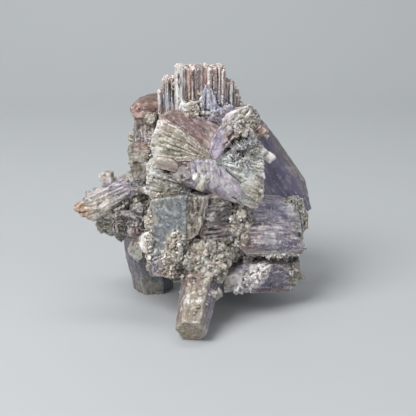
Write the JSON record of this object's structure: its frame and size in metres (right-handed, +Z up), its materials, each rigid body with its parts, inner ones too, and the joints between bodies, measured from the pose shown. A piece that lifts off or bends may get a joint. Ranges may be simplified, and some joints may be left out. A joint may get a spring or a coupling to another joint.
{
  "type": "aragonite cluster",
  "caption": "Natural aragonite cluster: stubby ribbed hexagonal crystals grown out of one intergrown mass, with a fluted crown, standing on its crystal ends.",
  "frame": {"origin": "on the surface that the stone stands on, under the middle of its bounding box", "axes": "+Z up through the crown, -Y towards the side with the foot, +X to the right of a viewer in front of the foot"},
  "size_m": [0.0681, 0.0692, 0.0706],
  "materials": {
    "aragonite": "natural aragonite: lilac-grey and olive-cream ribbed crystals with violet, tan and maroon zones, white frosted edges and a sugary crust, satin"
  },
  "bodies": {
    "root": {"aragonite_cluster": "aragonite"}
  },
  "joints": []
}
